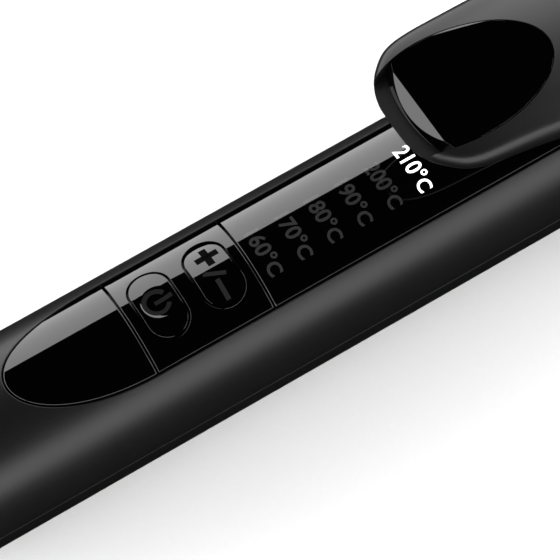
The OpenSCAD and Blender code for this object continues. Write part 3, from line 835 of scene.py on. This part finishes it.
# ---------------------------------------------------------------- thumb lever
# One moulded shell over the hinge: a broad round nose, widening over the grip, with the
# same soft-touch coat. It is hollow beneath and screwed to the steel channel.
lever_rings = (
    # place, half width, top, bottom: from nose to hinge
    (55.9, 4.6, 32.8, 31.2), (56.3, 6.6, 33.6, 30.6), (57.1, 8.7, 34.5, 30.0), (58.4, 10.6, 35.15, 29.4),
    (60.2, 12.4, 35.5, 28.8), (62.2, 14.0, 35.68, 28.2), (65, 15.0, 35.76, 27.4), (69, 15.5, 35.7, 26.6),
    (75, 15.8, 35.3, 25.4), (82, 16.4, 34.5, 23.5), (90, 17.3, 33.2, 20.5), (98, 17.8, 31.8, 17.5),
    (106, 17.9, 30.5, 14.5), (114, 17.3, 29.3, 12.0), (121, 15.9, 28.2, 10.5), (127, 14.0, 27.6, 11.0),
    (131.3, 11.0, 25.7, 12.2), (134.2, 8.0, 23.2, 14.0), (135.7, 5.0, 20.8, 16.0),
)


def lever_form(name):
    """The closed outer form of the lever, drawn out ring by ring from the nose."""
    form = new_piece(name, bpy.ops.mesh.primitive_circle_add, vertices=32, radius=1,
                     rotation=(0, math.pi / 2, 0))
    bpy.ops.object.transform_apply(rotation=True)
    finish_modifier(form, "CAST", {"cast_type": "CUBOID", "factor": 0.34, "use_x": False})
    wide = max(v.co.y for v in form.data.vertices)
    tall = max(v.co.z for v in form.data.vertices)
    x, half, high, low = lever_rings[0]
    bpy.ops.object.mode_set(mode="EDIT")
    bpy.ops.mesh.select_all(action="SELECT")
    bpy.ops.transform.resize(value=(1, half * MM / wide, (high - low) / 2 * MM / tall),
                             center_override=(0, 0, 0))
    bpy.ops.transform.translate(value=(seam_x + x * MM, 0, axis_z + (high + low) / 2 * MM))
    bpy.ops.mesh.edge_face_add()
    bpy.ops.mesh.inset(thickness=0.25 * MM)
    bpy.ops.mesh.select_all(action="DESELECT")
    mesh = bmesh.from_edit_mesh(form.data)
    for edge in mesh.edges:
        if len(edge.link_faces) == 1:
            edge.select = True
    mesh.select_flush(True)
    bmesh.update_edit_mesh(form.data)
    for nx, nhalf, nhigh, nlow in lever_rings[1:]:
        bpy.ops.mesh.extrude_edges_move(TRANSFORM_OT_translate={
            "value": ((nx - x) * MM, 0, ((nhigh + nlow) - (high + low)) / 2 * MM)})
        bpy.ops.transform.resize(value=(1, nhalf / half, (nhigh - nlow) / (high - low)),
                                 center_override=(0, 0, axis_z + (nhigh + nlow) / 2 * MM))
        x, half, high, low = nx, nhalf, nhigh, nlow
    bpy.ops.mesh.edge_face_add()
    bpy.ops.mesh.inset(thickness=1.0 * MM)
    bpy.ops.mesh.select_all(action="SELECT")
    bpy.ops.mesh.normals_make_consistent(inside=False)
    bpy.ops.object.mode_set(mode="OBJECT")
    finish_modifier(form, "SUBSURF", {"levels": 3, "render_levels": 3})
    return form


def shifted(piece, name, x, z):
    """A copy of a form, moved by so much."""
    copy = piece.copy()
    copy.data = piece.data.copy()
    copy.name = copy.data.name = name
    bpy.context.scene.collection.objects.link(copy)
    only(copy)
    copy.location = (x, 0, z)
    bpy.ops.object.transform_apply(location=True)
    return copy


def pad_prism(name, grow):
    """The egg outline of the thumb pad, as an upright tool through the lever's top."""
    egg = new_piece(name, bpy.ops.mesh.primitive_circle_add, vertices=128, radius=1, fill_type="NGON")
    egg.scale = (18.8 * MM + grow, 11.2 * MM + grow, 1)
    bpy.ops.object.transform_apply(scale=True)
    finish_modifier(egg, "SIMPLE_DEFORM", {"deform_method": "TAPER", "deform_axis": "X", "factor": -0.1})
    egg.location = (seam_x + 69.3 * MM, 0, axis_z + 40 * MM)
    bpy.ops.object.transform_apply(location=True)
    thicken(egg, 12.0 * MM)
    return egg


def round_tool(name, radius, x0, x1, tilt=0.0):
    """A cylinder along the grip, tilted about the hinge pin."""
    tool = new_piece(name, bpy.ops.mesh.primitive_cylinder_add, vertices=256, radius=radius, depth=x1 - x0,
                     location=((x0 + x1) / 2 - pin.x, 0, axis_z - pin.z), rotation=(0, math.pi / 2, 0))
    bpy.ops.object.transform_apply(location=True, rotation=True)
    tool.rotation_euler = (0, tilt, 0)
    bpy.ops.object.transform_apply(rotation=True)
    tool.location = pin
    bpy.ops.object.transform_apply(location=True)
    return tool


def box_tool(name, low, high):
    tool = new_piece(name, bpy.ops.mesh.primitive_cube_add, size=1)
    tool.scale = [b - a for a, b in zip(low, high)]
    tool.location = [(a + b) / 2 for a, b in zip(low, high)]
    bpy.ops.object.transform_apply(location=True, scale=True)
    return tool


def nose_floor(name, z):
    """Everything of the nose below so high, where the pad ends above the lever's lip."""
    return box_tool(name, (seam_x + 40 * MM, -20 * MM, axis_z + 10 * MM),
                    (seam_x + 62.5 * MM, 20 * MM, axis_z + z))


pad_wall = 2.2 * MM
pad_lip = 32.2 * MM
crown_r = 170 * MM
crown_top = 34.25 * MM
facet_edge = (61.1 * MM, 34.11 * MM)
facet_tilt = math.radians(-30)
brow_x, brow_z, brow_r, brow_slope = 85.9 * MM, 34 * MM, 26, 0.608

outer = lever_form("lever_outer")
pad = shifted(outer, "thumb_pad", 0, 0)
cut(pad, pad_prism("pad_tool", -0.1 * MM), "INTERSECT")
cut(pad, shifted(outer, "pad_inside", pad_wall, -pad_wall))
cut(pad, nose_floor("pad_floor", pad_lip))
crown = new_piece("pad_crown", bpy.ops.mesh.primitive_cylinder_add, vertices=1440, radius=crown_r,
                  depth=60 * MM, rotation=(math.pi / 2, 0, 0),
                  location=(seam_x + 68 * MM, 0, axis_z + crown_top - crown_r))
bpy.ops.object.transform_apply(location=True, rotation=True)
cut(pad, crown, "INTERSECT")
facet = box_tool("pad_facet", (-20 * MM, -20 * MM, 0), (0, 20 * MM, 10 * MM))
facet.rotation_euler = (0, facet_tilt, 0)
facet.location = (seam_x + facet_edge[0], 0, axis_z + facet_edge[1])
bpy.ops.object.transform_apply(location=True, rotation=True)
cut(pad, facet)
brow = box_tool("pad_brow", (seam_x + 50 * MM, -20 * MM, axis_z + 28 * MM),
                (seam_x + 64 * MM, 20 * MM, axis_z + 40 * MM))
cone = new_piece("brow_cone", bpy.ops.mesh.primitive_cone_add, vertices=384, depth=14 * MM,
                 radius1=(brow_r + 7.4 * brow_slope) * MM, radius2=(brow_r - 6.6 * brow_slope) * MM,
                 location=(seam_x + brow_x, 0, axis_z + brow_z))
bpy.ops.object.transform_apply(location=True)
cut(brow, cone)
cut(pad, brow)
bed = pad_prism("pad_bed", 0.12 * MM)
cut(bed, nose_floor("bed_floor", pad_lip - 0.2 * MM))
cut(bed, shifted(outer, "bed_inside", 2.1 * MM, -2.3 * MM))
shell = shifted(outer, "lever_shell", 0, 0)
cut(shell, bed)
bpy.data.objects.remove(outer)

pin = (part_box("hinge_pin")[0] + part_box("hinge_pin")[1]) / 2
open_angle = math.radians(12)
grip_clear = grip_r + 0.4 * MM
cut(shell, round_tool("swing_room", grip_clear, seam_x + 30 * MM, pin.x + 1 * MM, open_angle))
cut(shell, round_tool("grip_room", grip_clear, seam_x + 30 * MM, seam_x + 127.4 * MM))
cut(shell, round_tool("barrel_room", 15.4 * MM, seam_x + 110 * MM, seam_x + 160 * MM))
for name, x0, x1, half, high in (("channel_room", 95.6, 121, 11.6, 25.5),
                                 ("front_room", 120, 126.3, 10.1, 25.5),
                                 ("hinge_room", 118, 126, 12.6, 22.4)):
    cut(shell, box_tool(name, (seam_x + x0 * MM, -half * MM, axis_z + 8 * MM),
                        (seam_x + x1 * MM, half * MM, axis_z + high * MM)))
neck = box_tool("neck_room", (0, -6.4 * MM, -20 * MM), (30 * MM, 6.4 * MM, 0))
neck.rotation_euler = (0, math.radians(45.6), 0)
neck.location = (seam_x + 125.5 * MM, 0, axis_z + 25.9 * MM)
bpy.ops.object.transform_apply(location=True, rotation=True)
cut(shell, neck)
smooth(shell, 32.0)
settle(shell, "clamp", soft_touch("soft_touch_lever"), "soft_black", "lever_body")


# ---------------------------------------------------------------- thumb pad
# A polished black insert, snapped into the lever's top and carried over its nose. It is
# egg shaped, wide at the nose, with a fine joint all round.
only(pad)
bpy.ops.object.mode_set(mode="EDIT")
bpy.ops.mesh.select_all(action="SELECT")
bpy.ops.mesh.remove_doubles(threshold=0.05 * MM)
bpy.ops.mesh.dissolve_degenerate(threshold=0.02 * MM)
bpy.ops.object.mode_set(mode="OBJECT")
finish_modifier(pad, "BEVEL", {"width": 0.16 * MM, "segments": 3, "limit_method": "ANGLE",
                               "angle_limit": math.radians(50), "use_clamp_overlap": True})
smooth(pad, 10.0)
settle(pad, "clamp", piano_gloss("piano_pad"), "gloss_black", "lever_pad")
refined("lever_screws", 0.12 * MM, 2, steel)


# ---------------------------------------------------------------- stand
# A moulded bail swings on two riveted pins in the collar. Its bar has two silicone feet.
refined("stand_bail", 0.5 * MM, 4, moulded("stand_resin", (0.013, 0.013, 0.0135), 0.45))
refined("stand_pins", 0.25 * MM, 3, steel)
refined("stand_feet", 0.15 * MM, 3, moulded("silicone", (0.03, 0.03, 0.031), 0.62))
